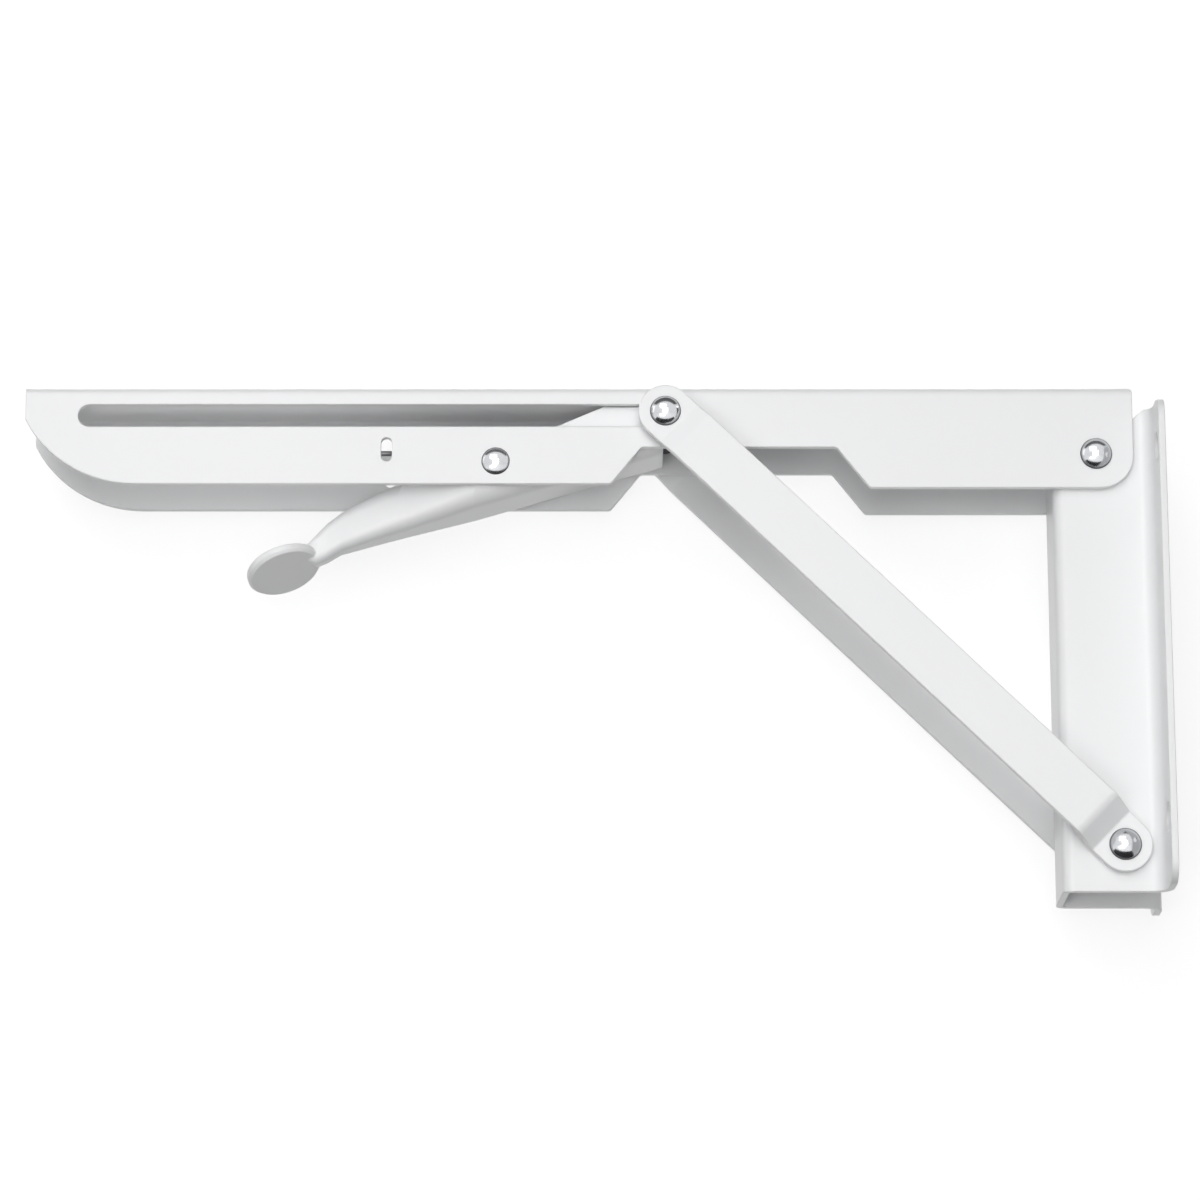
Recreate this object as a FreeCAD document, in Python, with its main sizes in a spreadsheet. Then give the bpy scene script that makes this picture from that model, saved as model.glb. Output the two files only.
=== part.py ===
import FreeCAD
import Part
import math
import os
import re
import Sketcher

# Folding shelf bracket, 10 inch: a pressed hat section on the wall carries a
# channel arm, and a pair of flat bars holds the arm up.  A pin at the top of
# the bars runs in the long slot of the arm, where the release lever latches it.
#
# Frame: X = 0 is the wall, +X goes into it, Z is up, and the origin is the
# centre of the four wall screw holes.  Millimetres.

Vector = FreeCAD.Vector
doc = FreeCAD.newDocument("folding_shelf_bracket")

# Sizes
SIZES = [
    # pressed steel
    ("gauge", 1.5),
    ("side_gap", 0.3),
    ("head_gap", 0.1),
    ("running_gap", 0.05),
    # pivots; positions on the arm are taken from the arm pivot
    ("pivot_x", -14.35),
    ("pivot_z", 42.0),
    ("strut_low_x", 4.02),
    ("strut_low_z", -89.16),
    ("pin_x", -96.27),
    ("pin_z", 8.94),
    ("lever_pin_x", -134.2),
    ("lever_pin_z", -1.7),
    # wall bracket
    ("hat_front", -24.05),
    ("hat_half", 9.5),
    ("hat_low", -57.3),
    ("hat_high", 52.7),
    ("hat_web_bend", 1.0),
    ("hat_flange_bend", 3.0),
    ("flange_half", 22.0),
    ("flange_corner", 5.0),
    ("relief_back", -3.4),
    ("relief_knee_x", -6.2),
    ("relief_knee_z", 50.4),
    ("relief_low", 46.0),
    ("wall_hole_dia", 6.5),
    ("wall_hole_y", 17.0),
    ("wall_hole_z", 42.0),
    # shelf arm
    ("arm_top", 15.7),
    ("arm_back", 8.36),
    ("arm_low_back", -7.85),
    ("arm_low_front", -6.95),
    ("arm_tip", -239.6),
    ("arm_bend", 0.5),
    ("arm_top_corner", 1.3),
    ("arm_low_corner", 7.6),
    ("tip_arc", 28.1),
    ("tip_tangent", -214.7),
    ("notch_back_low", -50.6),
    ("notch_back_high", -58.0),
    ("notch_front_high", -101.6),
    ("notch_front_low", -108.5),
    ("notch_top", 1.6),
    ("notch_round", 1.2),
    ("track_width", 5.2),
    ("track_back", -93.67),
    ("track_front", -227.76),
    ("wire_slot_x", -158.6),
    ("wire_slot_low", -1.8),
    ("wire_slot_high", 3.8),
    ("wire_slot_width", 2.4),
    ("shelf_hole_dia", 5.5),
    ("shelf_hole_back", -32.0),
    ("shelf_hole_front", -233.0),
    # rivets
    ("rivet_shank", 5.0),
    ("rivet_head", 7.2),
    ("rivet_dome", 2.2),
    ("lever_shank", 4.0),
    ("lever_head", 6.4),
    ("lever_dome", 1.45),
    # slide pin
    ("axle_half", 7.7),
    ("roller_dia", 7.0),
    ("roller_half", 7.4),
    ("slider_flange", 9.0),
    ("slider_flange_thick", 1.15),
    ("cap_head", 7.0),
    ("cap_dome", 2.2),
    # strut bars
    ("bar_thick", 1.8),
    ("bar_width", 12.0),
    ("bar_inner", 14.25),
    ("low_joggle_start", 5.1),
    ("low_joggle_end", 9.5),
    ("high_joggle_start", 4.6),
    ("high_joggle_end", 8.2),
    ("joggle_bend", 0.8),
    # release lever
    ("nose_x", -96.7),
    ("nose_low", 1.7),
    ("nose_high", 5.9),
    ("shoulder_foot", -98.25),
    ("lever_top", 11.5),
    ("ramp_start", -110.1),
    ("ramp_end", -127.2),
    ("lever_flat", 4.0),
    ("lever_slope", 16.6),
    ("wide_end", -139.0),
    ("waist_x", -154.0),
    ("waist_half", 6.2),
    ("waist_top", -3.9),
    ("waist_corner", 3.6),
    ("wide_corner", 5.0),
    ("wrist_x", -165.0),
    ("wrist_half", 4.4),
    ("wrist_top", -8.8),
    ("wrist_corner", 2.8),
    ("neck_half", 3.0),
    ("neck_corner", 2.2),
    ("thumb_x", -181.8),
    ("thumb_z", -23.85),
    ("thumb_long", 16.8),
    ("thumb_across", 18.0),
    ("thumb_thick", 1.85),
    ("thumb_tilt", -20.0),
    ("thumb_twist", -15.0),
    ("thumb_bevel", 0.6),
    # latch spring
    ("wire_dia", 1.2),
    ("coil_radius", 3.6),
    ("coil_pitch", 1.5),
    ("coil_turns", 3.44),
    ("short_leg_x", -147.6),
    ("long_leg_z", 0.0),
]

sheet = doc.addObject("Spreadsheet::Sheet", "sizes")
for row, (word, number) in enumerate(SIZES, start=1):
    sheet.set("A%d" % row, word)
    sheet.set("B%d" % row, repr(number))
    sheet.setAlias("B%d" % row, word)
doc.recompute()

WORDS = set(word for word, number in SIZES)


def bound(text):
    """The expression with every size word pointing at its cell."""
    return re.sub(
        r"[a-z][a-z_]*",
        lambda m: "<<sizes>>." + m.group(0) if m.group(0) in WORDS else m.group(0),
        text,
    )


def size(text):
    """The number an expression stands for now."""
    found = sheet.evalExpression(bound(text))
    return float(getattr(found, "Value", found))


def tie(item, prop, text):
    item.setExpression(prop, bound(text))


# Measures that several pieces share
WEB_FRONT_IN = "hat_front + gauge"
HAT_IN = "hat_half - gauge"
ARM_IN = "hat_half + side_gap"
ARM_OUT = "hat_half + side_gap + gauge"
EAR_LOW = ARM_IN
EAR_LOW_OUT = "hat_half + side_gap + bar_thick"
SLIDER_UNDER = ARM_OUT + " + side_gap"
SLIDER_OUT = ARM_OUT + " + side_gap + slider_flange_thick"
EAR_HIGH = SLIDER_OUT + " + side_gap"
EAR_HIGH_OUT = SLIDER_OUT + " + side_gap + bar_thick"
STRUT_RUN = "sqrt((pin_x - strut_low_x)^2 + (pin_z - strut_low_z)^2)"
LEVER_OUT = "hat_half"
LEVER_IN = "hat_half - gauge"
WEB_RISE = "gauge / cos(lever_slope)"


def lever_under(x_text):
    return "(nose_low - tan(lever_slope) * (nose_x - (%s)))" % x_text


# Helpers
def new_body(name):
    body = doc.addObject("PartDesign::Body", name)
    body.Label = name
    return body


def new_sketch(body, name, role, shift=None):
    sketch = body.newObject("Sketcher::SketchObject", name)
    plane = [f for f in body.Origin.OriginFeatures if f.Role == role][0]
    sketch.AttachmentSupport = [(plane, "")]
    sketch.MapMode = "FlatFace"
    if shift is not None:
        tie(sketch, "AttachmentOffset.Base.z", shift)
    return sketch


def pin_point(sketch, geometry, end, x_text, y_text):
    """Hold one end of a line or arc at a place from the sketch origin."""
    for kind, text in (("DistanceX", x_text), ("DistanceY", y_text)):
        row = sketch.addConstraint(
            Sketcher.Constraint(kind, -1, 1, geometry, end, size(text))
        )
        tie(sketch, "Constraints[%d]" % row, text)


def arc_between(start, stop, centre, turn):
    a = math.atan2(start.y - centre.y, start.x - centre.x)
    b = math.atan2(stop.y - centre.y, stop.x - centre.x)
    if turn < 0:
        a, b = b, a
    while b <= a:
        b += 2.0 * math.pi
    circle = Part.Circle(centre, Vector(0, 0, 1), (start - centre).Length)
    return Part.ArcOfCircle(circle, a, b)


def outline(sketch, corners, arcs=None):
    """Closed outline.

    corners: pairs of expressions.  arcs: index of a side -> (hold, expression,
    turn), where hold is "x" or "y" of the centre or "r" for the radius, and
    turn is 1 for anticlockwise and -1 for clockwise.
    """
    arcs = arcs or {}
    places = [Vector(size(x), size(y), 0) for x, y in corners]
    ends = []
    count = len(places)
    for i in range(count):
        start = places[i]
        stop = places[(i + 1) % count]
        if i not in arcs:
            index = sketch.addGeometry(Part.LineSegment(start, stop))
            ends.append((index, 1, 2))
            continue
        hold, text, turn = arcs[i]
        middle = (start + stop) * 0.5
        chord = stop - start
        normal = Vector(-chord.y, chord.x, 0)
        normal.normalize()
        if hold == "r":
            radius = size(text)
            rise = math.sqrt(max(radius ** 2 - (chord.Length / 2.0) ** 2, 0.0))
            centre = middle + normal * (rise * turn)
        elif hold == "x":
            move = (size(text) - middle.x) / normal.x
            centre = middle + normal * move
        else:
            move = (size(text) - middle.y) / normal.y
            centre = middle + normal * move
        index = sketch.addGeometry(arc_between(start, stop, centre, turn))
        if turn > 0:
            ends.append((index, 1, 2))
        else:
            ends.append((index, 2, 1))
    for i in range(count):
        index, first, last = ends[i]
        after, after_first, after_last = ends[(i + 1) % count]
        sketch.addConstraint(
            Sketcher.Constraint("Coincident", index, last, after, after_first)
        )
    for i in range(count):
        index, first, last = ends[i]
        pin_point(sketch, index, first, corners[i][0], corners[i][1])
    for i, (hold, text, turn) in arcs.items():
        index = ends[i][0]
        if hold == "r":
            row = sketch.addConstraint(
                Sketcher.Constraint("Radius", index, size(text))
            )
        elif hold == "x":
            row = sketch.addConstraint(
                Sketcher.Constraint("DistanceX", -1, 1, index, 3, size(text))
            )
        else:
            row = sketch.addConstraint(
                Sketcher.Constraint("DistanceY", -1, 1, index, 3, size(text))
            )
        tie(sketch, "Constraints[%d]" % row, text)


def circle(sketch, x_text, y_text, across_text):
    index = sketch.addGeometry(
        Part.Circle(
            Vector(size(x_text), size(y_text), 0),
            Vector(0, 0, 1),
            size(across_text) / 2.0,
        )
    )
    pin_point(sketch, index, 3, x_text, y_text)
    row = sketch.addConstraint(
        Sketcher.Constraint("Diameter", index, size(across_text))
    )
    tie(sketch, "Constraints[%d]" % row, across_text)


def pad(body, name, sketch, length, both=True, reverse=False):
    feature = body.newObject("PartDesign::Pad", name)
    feature.Profile = sketch
    if both:
        feature.SideType = "Symmetric"
    feature.Reversed = reverse
    tie(feature, "Length", length)
    doc.recompute()
    return feature


def pocket(body, name, sketch, length):
    """Cut to both sides of the sketch, and make sure that it cut."""
    before = body.Shape.Volume
    feature = body.newObject("PartDesign::Pocket", name)
    feature.Profile = sketch
    feature.SideType = "Symmetric"
    tie(feature, "Length", length)
    doc.recompute()
    if not body.Shape.Volume < before - 0.01:
        raise RuntimeError("%s cuts nothing" % name)
    return feature


def edge_names(shape, test):
    names = []
    for i, edge in enumerate(shape.Edges, start=1):
        if test(edge):
            names.append("Edge%d" % i)
    return names


def along(edge, axis):
    """True for a straight edge that runs along the axis."""
    if edge.Curve.TypeId != "Part::GeomLine":
        return False
    run = edge.Vertexes[-1].Point - edge.Vertexes[0].Point
    return abs(abs(run.dot(axis)) - run.Length) < 1e-6


def near(a, b):
    return abs(a - b) < 1e-4


def round_edges(body, name, radius, test):
    doc.recompute()
    base = body.Tip
    names = edge_names(base.Shape, test)
    if not names:
        raise RuntimeError("%s finds no edge" % name)
    feature = body.newObject("PartDesign::Fillet", name)
    feature.Base = (base, names)
    feature.Radius = size(radius)
    tie(feature, "Radius", radius)
    doc.recompute()
    if feature.Shape.isNull() or not feature.Shape.isValid():
        raise RuntimeError("%s fails" % name)
    return feature


X_AXIS = Vector(1, 0, 0)
Y_AXIS = Vector(0, 1, 0)
Z_AXIS = Vector(0, 0, 1)


def stand_at(body, x_text, z_text):
    tie(body, "Placement.Base.x", x_text)
    tie(body, "Placement.Base.z", z_text)


def turned(name, corners, arcs, x_text, z_text):
    """A round piece about the Y direction; corners are (radius, along Y)."""
    body = new_body(name)
    sketch = new_sketch(body, name + "_profile", "XY_Plane")
    outline(sketch, corners, arcs)
    feature = body.newObject("PartDesign::Revolution", name + "_turn")
    feature.Profile = sketch
    feature.ReferenceAxis = (sketch, ["V_Axis"])
    feature.Angle = 360.0
    doc.recompute()
    stand_at(body, x_text, z_text)
    return body


def dome_centre(top, dome, head):
    """Along-axis place of the centre of a domed head's ball."""
    ball = "(((%s) / 2)^2 + (%s)^2) / (2 * (%s))" % (head, dome, dome)
    return "(%s) - (%s)" % (top, ball)


def rivet(name, shank, head, dome, under, x_text, z_text):
    """Domed on both ends, with a straight shank between the heads."""
    top = "(%s) + (%s)" % (under, dome)
    corners = [
        ("0", "-(%s)" % top),
        ("(%s) / 2" % head, "-(%s)" % under),
        ("(%s) / 2" % shank, "-(%s)" % under),
        ("(%s) / 2" % shank, under),
        ("(%s) / 2" % head, under),
        ("0", top),
    ]
    ball = dome_centre(top, dome, head)
    arcs = {0: ("y", "-(%s)" % ball, 1), 4: ("y", ball, 1)}
    return turned(name, corners, arcs, x_text, z_text)


# Wall bracket
wall = new_body("wall_bracket")
hat = new_sketch(wall, "hat_section", "XY_Plane", "hat_low")
outline(hat, [
    ("-gauge", "flange_half"),
    ("-gauge", "hat_half"),
    ("hat_front", "hat_half"),
    ("hat_front", "-hat_half"),
    ("-gauge", "-hat_half"),
    ("-gauge", "-flange_half"),
    ("0", "-flange_half"),
    ("0", "-(%s)" % HAT_IN),
    (WEB_FRONT_IN, "-(%s)" % HAT_IN),
    (WEB_FRONT_IN, HAT_IN),
    ("0", HAT_IN),
    ("0", "flange_half"),
])
pad(wall, "hat_pressing", hat, "hat_high - hat_low", both=False)


def upright_at(x_text, y_text):
    x = size(x_text)
    y = size(y_text)

    def test(edge):
        if not along(edge, Z_AXIS):
            return False
        point = edge.Vertexes[0].Point
        return near(point.x, x) and near(abs(point.y), y)

    return test


round_edges(wall, "web_bend_out", "hat_web_bend + gauge",
            upright_at("hat_front", "hat_half"))
round_edges(wall, "web_bend_in", "hat_web_bend", upright_at(WEB_FRONT_IN, HAT_IN))
round_edges(wall, "flange_bend_front", "hat_flange_bend",
            upright_at("-gauge", "hat_half"))
round_edges(wall, "flange_bend_back", "hat_flange_bend + gauge",
            upright_at("0", HAT_IN))


def flange_corner(edge):
    if not along(edge, X_AXIS):
        return False
    return near(abs(edge.Vertexes[0].Point.y), size("flange_half"))


round_edges(wall, "flange_corners", "flange_corner", flange_corner)

relief = new_sketch(wall, "top_relief", "XZ_Plane")
outline(relief, [
    ("relief_back", "hat_high"),
    ("relief_knee_x", "relief_knee_z"),
    ("hat_front", "relief_low"),
    ("hat_front - 5", "relief_low"),
    ("hat_front - 5", "hat_high + 5"),
    ("relief_back", "hat_high + 5"),
])
pocket(wall, "top_relief_cut", relief, "3 * hat_half")

screws = new_sketch(wall, "wall_screw_holes", "YZ_Plane")
for across in ("wall_hole_y", "-wall_hole_y"):
    for up in ("wall_hole_z", "-wall_hole_z"):
        circle(screws, across, up, "wall_hole_dia")
pocket(wall, "wall_screw_cut", screws, "8 * gauge")

eyes = new_sketch(wall, "rivet_holes", "XZ_Plane")
circle(eyes, "pivot_x", "pivot_z", "rivet_shank")
circle(eyes, "pivot_x + strut_low_x", "pivot_z + strut_low_z", "rivet_shank")
pocket(wall, "rivet_holes_cut", eyes, "3 * hat_half")

rivet("arm_pivot_rivet", "rivet_shank", "rivet_head", "rivet_dome",
      ARM_OUT + " + head_gap", "pivot_x", "pivot_z")
rivet("strut_pivot_rivet", "rivet_shank", "rivet_head", "rivet_dome",
      EAR_LOW_OUT + " + head_gap", "pivot_x + strut_low_x", "pivot_z + strut_low_z")

# Shelf arm
arm = new_body("shelf_arm")
side = new_sketch(arm, "arm_side", "XZ_Plane")
TIP_CENTRE = "(arm_low_front + tip_arc)"
TIP_EDGE = TIP_CENTRE + " - sqrt(tip_arc^2 - (arm_tip - tip_tangent)^2)"
outline(side, [
    ("arm_tip", "arm_top"),
    ("arm_tip", TIP_EDGE),
    ("tip_tangent", "arm_low_front"),
    ("notch_front_low", "arm_low_front"),
    ("notch_front_high", "notch_top"),
    ("notch_back_high", "notch_top"),
    ("notch_back_low", "arm_low_back"),
    ("arm_back", "arm_low_back"),
    ("arm_back", "arm_top"),
], {1: ("r", "tip_arc", 1)})
pad(arm, "arm_blank", side, "2 * (%s)" % ARM_OUT)


def crosswise_at(places):
    spots = [(size(x), size(z)) for x, z in places]

    def test(edge):
        if not along(edge, Y_AXIS):
            return False
        point = edge.Vertexes[0].Point
        return any(near(point.x, x) and near(point.z, z) for x, z in spots)

    return test


round_edges(arm, "back_low_corner", "arm_low_corner",
            crosswise_at([("arm_back", "arm_low_back")]))
round_edges(arm, "notch_corners", "notch_round", crosswise_at([
    ("notch_front_low", "arm_low_front"), ("notch_front_high", "notch_top"),
    ("notch_back_high", "notch_top"), ("notch_back_low", "arm_low_back")]))

channel = new_sketch(arm, "arm_channel", "YZ_Plane")
outline(channel, [
    (ARM_IN, "arm_low_back - 10"),
    (ARM_IN, "arm_top - gauge"),
    ("-(%s)" % ARM_IN, "arm_top - gauge"),
    ("-(%s)" % ARM_IN, "arm_low_back - 10"),
])
pocket(arm, "arm_channel_cut", channel, "-3 * arm_tip")


def arm_top_edge(edge):
    if not along(edge, X_AXIS):
        return False
    point = edge.Vertexes[0].Point
    return near(point.z, size("arm_top")) and near(abs(point.y), size(ARM_OUT))


def arm_inner_edge(edge):
    if not along(edge, X_AXIS):
        return False
    point = edge.Vertexes[0].Point
    return near(point.z, size("arm_top - gauge")) and near(abs(point.y), size(ARM_IN))


round_edges(arm, "arm_bend_in", "arm_bend", arm_inner_edge)
round_edges(arm, "arm_bend_out", "arm_bend + gauge", arm_top_edge)

back_top = new_sketch(arm, "back_top_corner", "XZ_Plane")
outline(back_top, [
    ("arm_back - arm_top_corner", "arm_top"),
    ("arm_back", "arm_top - arm_top_corner"),
    ("arm_back + 1", "arm_top - arm_top_corner"),
    ("arm_back + 1", "arm_top + 1"),
    ("arm_back - arm_top_corner", "arm_top + 1"),
], {0: ("x", "arm_back - arm_top_corner", -1)})
pocket(arm, "back_top_cut", back_top, "4 * hat_half")


def long_hole(sketch, x_left, x_right, z_mid, width):
    """Straight slot along X with round ends."""
    half = "(%s) / 2" % width
    left = "(%s) + %s" % (x_left, half)
    right = "(%s) - %s" % (x_right, half)
    low = "(%s) - %s" % (z_mid, half)
    high = "(%s) + %s" % (z_mid, half)
    outline(sketch, [(left, low), (right, low), (right, high), (left, high)],
            {1: ("x", right, 1), 3: ("x", left, 1)})


track = new_sketch(arm, "long_slot", "XZ_Plane")
long_hole(track, "track_front", "track_back", "pin_z", "track_width")
pocket(arm, "long_slot_cut", track, "4 * hat_half")

wire_slot = new_sketch(arm, "wire_slot", "XZ_Plane")
WIRE_HALF = "wire_slot_width / 2"
outline(wire_slot, [
    ("wire_slot_x - " + WIRE_HALF, "wire_slot_low + " + WIRE_HALF),
    ("wire_slot_x + " + WIRE_HALF, "wire_slot_low + " + WIRE_HALF),
    ("wire_slot_x + " + WIRE_HALF, "wire_slot_high - " + WIRE_HALF),
    ("wire_slot_x - " + WIRE_HALF, "wire_slot_high - " + WIRE_HALF),
], {0: ("y", "wire_slot_low + " + WIRE_HALF, 1),
    2: ("y", "wire_slot_high - " + WIRE_HALF, 1)})
pocket(arm, "wire_slot_cut", wire_slot, "4 * hat_half")

arm_eyes = new_sketch(arm, "arm_eyes", "XZ_Plane")
circle(arm_eyes, "0", "0", "rivet_shank + 2 * running_gap")
circle(arm_eyes, "lever_pin_x", "lever_pin_z", "lever_shank")
pocket(arm, "arm_eyes_cut", arm_eyes, "4 * hat_half")

shelf_holes = new_sketch(arm, "shelf_holes", "XY_Plane")
circle(shelf_holes, "shelf_hole_back", "0", "shelf_hole_dia")
circle(shelf_holes, "shelf_hole_front", "0", "shelf_hole_dia")
pocket(arm, "shelf_holes_cut", shelf_holes, "4 * arm_top")
stand_at(arm, "pivot_x", "pivot_z")

rivet("lever_pivot_rivet", "lever_shank", "lever_head", "lever_dome", ARM_OUT,
      "pivot_x + lever_pin_x", "pivot_z + lever_pin_z")

# Release lever
lever = new_body("release_lever")


def u_section(body, name, x_text, half, low, high, corner):
    """Upright section across the lever, with round lower corners."""
    sketch = new_sketch(body, name, "YZ_Plane", x_text)
    outline(sketch, [
        ("-(%s)" % half, high),
        ("-(%s)" % half, "(%s) + (%s)" % (low, corner)),
        ("-(%s) + (%s)" % (half, corner), low),
        ("(%s) - (%s)" % (half, corner), low),
        (half, "(%s) + (%s)" % (low, corner)),
        (half, high),
    ], {1: ("r", corner, 1), 3: ("r", corner, 1)})
    return sketch


def loft(body, kind, name, sections):
    before = body.Shape.Volume if body.Tip is not None else 0.0
    feature = body.newObject("PartDesign::" + kind, name)
    feature.Profile = sections[0]
    feature.Sections = sections[1:]
    feature.Ruled = True
    doc.recompute()
    change = body.Shape.Volume - before
    if kind.startswith("Sub") and not change < -0.01:
        raise RuntimeError("%s cuts nothing" % name)
    return feature


# The channel narrows from the rivet to the waist, and runs a little way on into
# the neck, which closes it.
LAP_X = "waist_x - 4"
LAP_HALF = "waist_half - (waist_half - wrist_half) * 4 / (waist_x - wrist_x)"
loft(lever, "AdditiveLoft", "lever_blank", [
    u_section(lever, "blank_nose", "nose_x", LEVER_OUT, lever_under("nose_x"),
              "lever_top + 4", "wide_corner"),
    u_section(lever, "blank_wide", "wide_end", LEVER_OUT, lever_under("wide_end"),
              "lever_top + 4", "wide_corner"),
    u_section(lever, "blank_waist", "waist_x", "waist_half", lever_under("waist_x"),
              "lever_top + 4", "waist_corner"),
    u_section(lever, "blank_lap", LAP_X, LAP_HALF, lever_under(LAP_X) + " + 0.1",
              "lever_top + 4", "waist_corner"),
])

HOLLOW_START = "nose_x + 4"
HOLLOW_END = "waist_x - 1.5"
loft(lever, "SubtractiveLoft", "lever_hollow", [
    u_section(lever, "hollow_nose", HOLLOW_START, LEVER_IN,
              lever_under(HOLLOW_START) + " + " + WEB_RISE,
              "lever_top + 9", "wide_corner - gauge"),
    u_section(lever, "hollow_wide", "wide_end", LEVER_IN,
              lever_under("wide_end") + " + " + WEB_RISE,
              "lever_top + 9", "wide_corner - gauge"),
    u_section(lever, "hollow_waist", "waist_x", "waist_half - gauge",
              lever_under("waist_x") + " + " + WEB_RISE,
              "lever_top + 9", "waist_corner - gauge"),
    u_section(lever, "hollow_end", HOLLOW_END, "waist_half - 1.2 * gauge",
              lever_under(HOLLOW_END) + " + " + WEB_RISE,
              "lever_top + 9", "waist_corner - gauge"),
])

# Upper outline of the walls.  The shoulder behind the nose is an arc about the
# lever pivot, so the pin is held until the nose has dropped clear of it.
SHOULDER = "sqrt((shoulder_foot - lever_pin_x)^2 + (nose_high - lever_pin_z)^2)"
SHOULDER_TOP = "lever_pin_x + sqrt((%s)^2 - (lever_top - lever_pin_z)^2)" % SHOULDER
trim = new_sketch(lever, "lever_outline", "XZ_Plane")
outline(trim, [
    ("nose_x + 3", "nose_high"),
    ("nose_x + 3", "lever_top + 20"),
    ("waist_x - 9", "lever_top + 20"),
    ("waist_x - 9", "waist_top - 6"),
    ("waist_x - 3", "waist_top - 6"),
    ("waist_x - 0.8", "waist_top"),
    ("lever_pin_x", "lever_flat"),
    ("ramp_end", "lever_flat"),
    ("ramp_start", "lever_top"),
    (SHOULDER_TOP, "lever_top"),
    ("shoulder_foot", "nose_high"),
], {9: ("r", SHOULDER, -1)})
pocket(lever, "lever_outline_cut", trim, "4 * hat_half")

lever_eye = new_sketch(lever, "lever_eye", "XZ_Plane")
circle(lever_eye, "lever_pin_x", "lever_pin_z", "lever_shank + 2 * running_gap")
pocket(lever, "lever_eye_cut", lever_eye, "4 * hat_half")


def tube_section(body, name, x_text, half, low, high, corner):
    """Upright section with four round corners."""
    sketch = new_sketch(body, name, "YZ_Plane", x_text)
    outline(sketch, [
        ("-(%s)" % half, "(%s) - (%s)" % (high, corner)),
        ("-(%s)" % half, "(%s) + (%s)" % (low, corner)),
        ("-(%s) + (%s)" % (half, corner), low),
        ("(%s) - (%s)" % (half, corner), low),
        (half, "(%s) + (%s)" % (low, corner)),
        (half, "(%s) - (%s)" % (high, corner)),
        ("(%s) - (%s)" % (half, corner), high),
        ("-(%s) + (%s)" % (half, corner), high),
    ], {1: ("r", corner, 1), 3: ("r", corner, 1), 5: ("r", corner, 1), 7: ("r", corner, 1)})
    return sketch


# The neck closes the channel to a tube, bends down and flattens into the thumb
# pad: (x, half width, underside, top, corner)
NECK = [
    ("waist_x - 0.5", "waist_half - 0.05", lever_under("waist_x - 0.5"), "waist_top - 0.1",
     "waist_corner"),
    ("(waist_x + wrist_x) / 2", "(waist_half + wrist_half) / 2",
     lever_under("(waist_x + wrist_x) / 2"), "(waist_top + wrist_top) / 2 + 0.25",
     "(waist_corner + wrist_corner) / 2"),
    ("wrist_x", "wrist_half", lever_under("wrist_x") + " - 0.1", "wrist_top", "wrist_corner"),
    ("wrist_x - 4", "wrist_half - 0.75", lever_under("wrist_x - 4") + " - 0.2",
     "wrist_top - 2.2", "wrist_corner - 0.2"),
    ("wrist_x - 7", "neck_half + 0.2", "thumb_z + 1.9", "wrist_top - 4.5", "neck_corner + 0.2"),
    ("wrist_x - 9.3", "neck_half", "thumb_z + 0.85", "wrist_top - 6.9", "neck_corner"),
    ("wrist_x - 11.6", "neck_half + 0.3", "thumb_z + 1.65", "wrist_top - 9.8", "neck_corner - 0.9"),
    ("wrist_x - 15.5", "neck_half", "thumb_z + 0.65", "thumb_z + 1.25", "neck_corner / 10"),
]
loft(lever, "AdditiveLoft", "lever_neck", [
    tube_section(lever, "neck_%d" % i, x, half, low, high, corner)
    for i, (x, half, low, high, corner) in enumerate(NECK, start=1)
])


def thumb_oval(name, lift, long_text, across_text):
    """Oval on the tilted and twisted plane of the thumb pad, lifted along its normal."""
    sketch = lever.newObject("Sketcher::SketchObject", name)
    plane = [f for f in lever.Origin.OriginFeatures if f.Role == "XY_Plane"][0]
    sketch.AttachmentSupport = [(plane, "")]
    sketch.MapMode = "FlatFace"
    sketch.AttachmentOffset = FreeCAD.Placement(
        Vector(), FreeCAD.Rotation(0, size("thumb_tilt"), size("thumb_twist"))
    )
    tie(sketch, "AttachmentOffset.Base.x",
        "thumb_x + (%s) * cos(thumb_twist) * sin(thumb_tilt)" % lift)
    tie(sketch, "AttachmentOffset.Base.y", "-(%s) * sin(thumb_twist)" % lift)
    tie(sketch, "AttachmentOffset.Base.z",
        "thumb_z + (%s) * cos(thumb_twist) * cos(thumb_tilt)" % lift)
    along_half = size(long_text) / 2.0
    across_half = size(across_text) / 2.0
    along_point = Vector(along_half, 0, 0)
    across_point = Vector(0, across_half, 0)
    if along_half > across_half:
        shape = Part.Ellipse(along_point, across_point, Vector())
        lengths = (long_text, across_text)
        hold = "Horizontal"
    else:
        shape = Part.Ellipse(across_point, -along_point, Vector())
        lengths = (across_text, long_text)
        hold = "Vertical"
    oval = sketch.addGeometry(shape)
    sketch.exposeInternalGeometry(oval)
    sketch.addConstraint(Sketcher.Constraint("Coincident", oval, 3, -1, 1))
    sketch.addConstraint(Sketcher.Constraint(hold, oval + 1))
    for line, text in zip((oval + 1, oval + 2), lengths):
        row = sketch.addConstraint(Sketcher.Constraint("Distance", line, size(text)))
        tie(sketch, "Constraints[%d]" % row, text)
    return sketch


# The pad is an oval disc whose lower rim is bevelled.
BEVEL_LIFT = "thumb_bevel - thumb_thick / 2"
thumb_rim = thumb_oval("thumb_rim", BEVEL_LIFT, "thumb_long", "thumb_across")
pad(lever, "thumb_disc", thumb_rim, "thumb_thick - thumb_bevel", both=False)
loft(lever, "AdditiveLoft", "thumb_lower_rim", [
    thumb_oval("thumb_rim_again", BEVEL_LIFT, "thumb_long", "thumb_across"),
    thumb_oval("thumb_face", "-thumb_thick / 2", "thumb_long - 2 * thumb_bevel",
               "thumb_across - 2 * thumb_bevel"),
])

doc.recompute()
stand_at(lever, "pivot_x", "pivot_z")

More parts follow.
